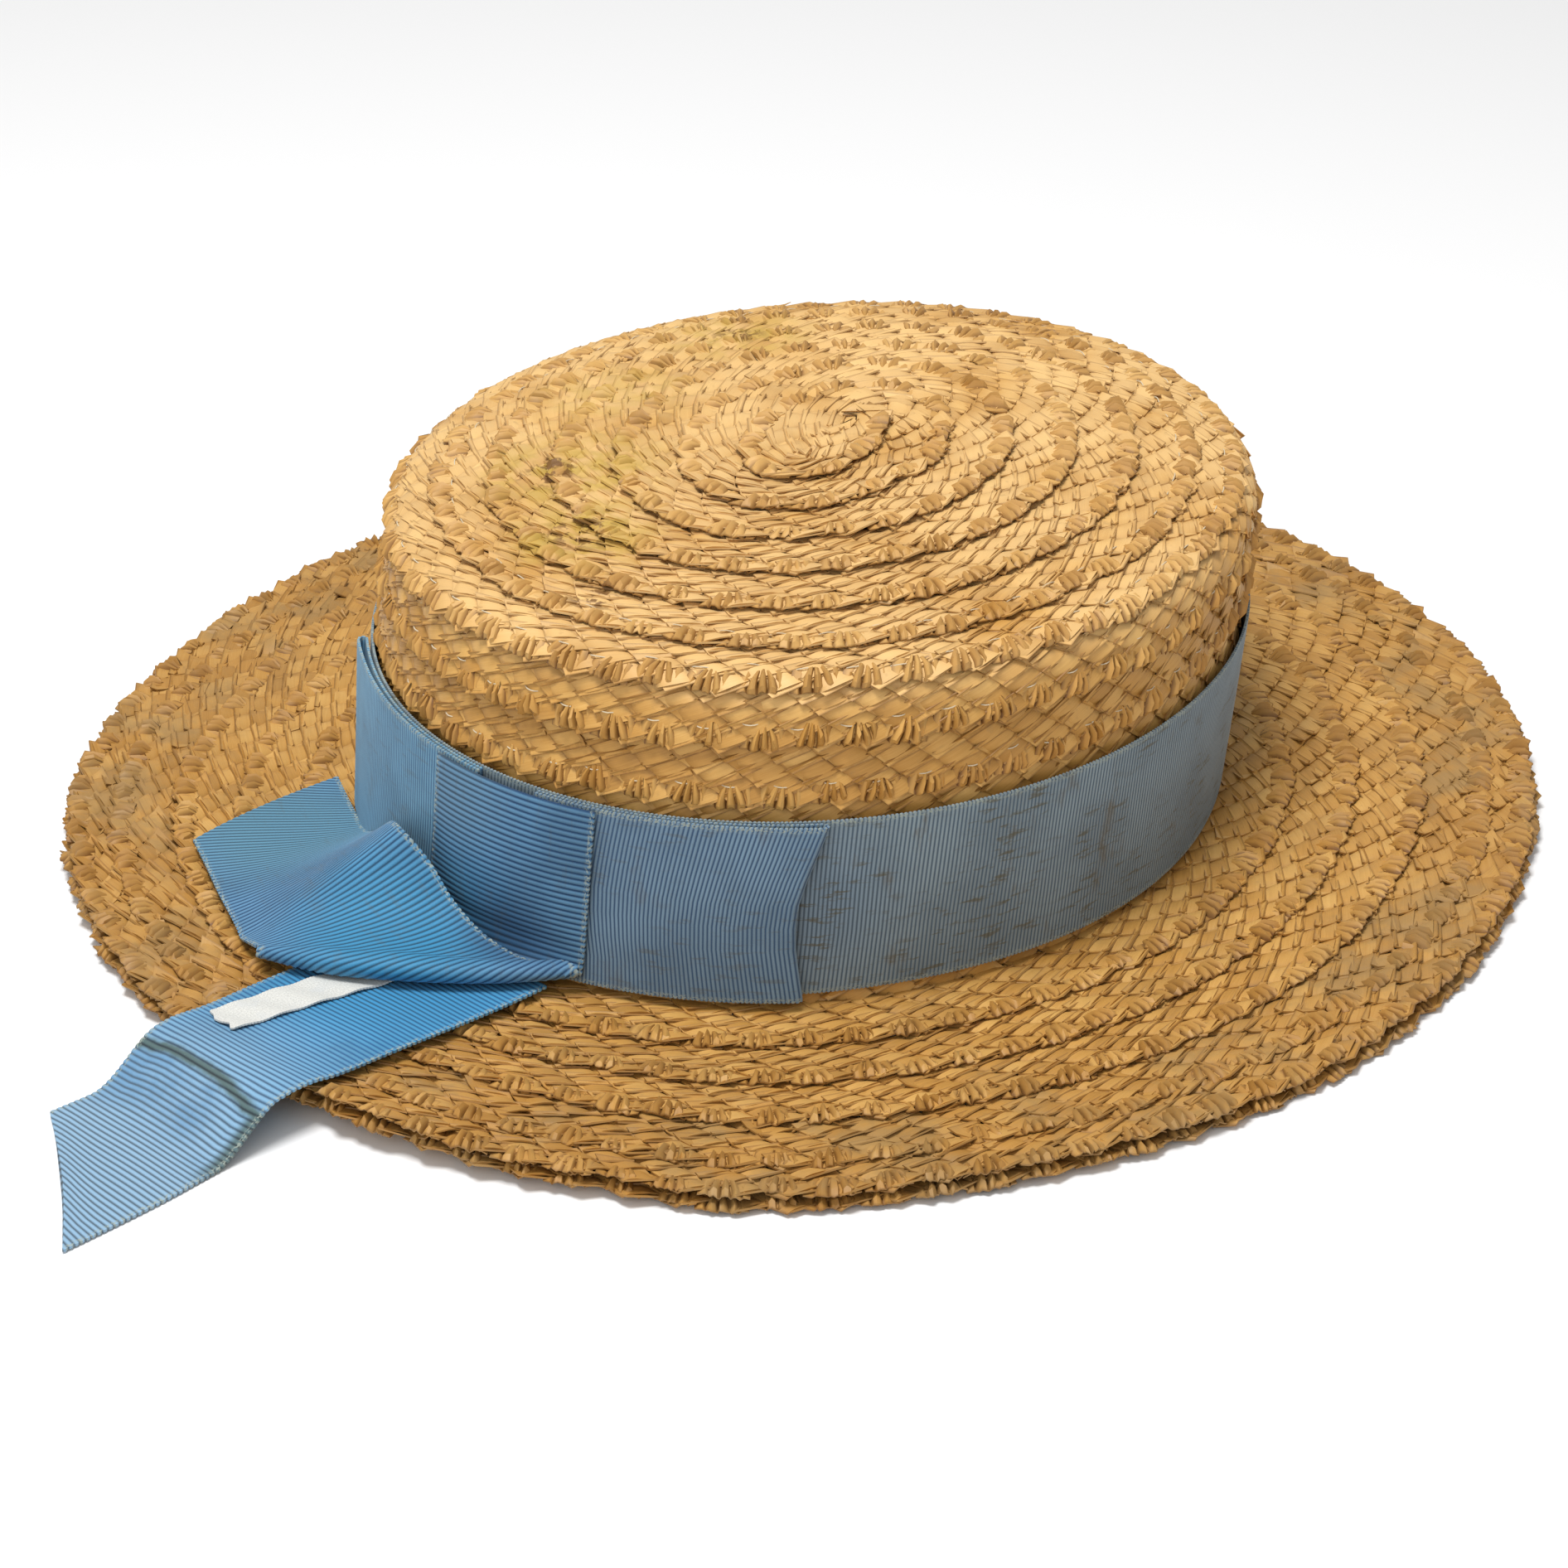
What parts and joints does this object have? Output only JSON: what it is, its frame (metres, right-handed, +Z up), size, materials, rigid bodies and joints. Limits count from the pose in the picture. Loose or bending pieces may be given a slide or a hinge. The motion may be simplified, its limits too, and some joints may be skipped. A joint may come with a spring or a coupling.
{
  "type": "straw boater hat",
  "caption": "Straw boater hat of sewn plaited braid: flat-topped crown, wide level brim, ribbed ribbon band with a flat bow and loose tails.",
  "frame": {"origin": "under the middle of the whole object, tails included, on the plane that the brim rests on", "axes": "+Z up; +Y from the hat's front to its back, the side of the bow and the long tail, along the oval's longer axis; +X to the side that the short tail lies on"},
  "size_m": [0.2995, 0.3756, 0.0799],
  "materials": {
    "straw": "natural plaited straw braid, sewn in rows, dry and slightly glossy on the flat strands",
    "straw_brim": "natural plaited straw braid, sewn in rows",
    "straw_edge": "worn, greyer straw braid",
    "band_ribbon": "faded ribbed ribbon, matt",
    "loop_ribbon_right": "faded ribbed ribbon, matt",
    "loop_ribbon_left": "faded ribbed ribbon, matt",
    "knot_ribbon": "ribbed ribbon, its sheltered side brighter",
    "tail_ribbon": "ribbed ribbon, bright near the knot and paler at its end",
    "tape": "soft white woven cotton tape, frayed end"
  },
  "bodies": {
    "root": {"straw_crown": "straw", "straw_brim": "straw_brim", "brim_edge_row": "straw_edge", "hat_band": "band_ribbon", "bow_loop_right": "loop_ribbon_right", "bow_loop_left": "loop_ribbon_left", "knot_ribbon": "knot_ribbon", "long_tail": "tail_ribbon", "name_tape": "tape"}
  },
  "joints": []
}
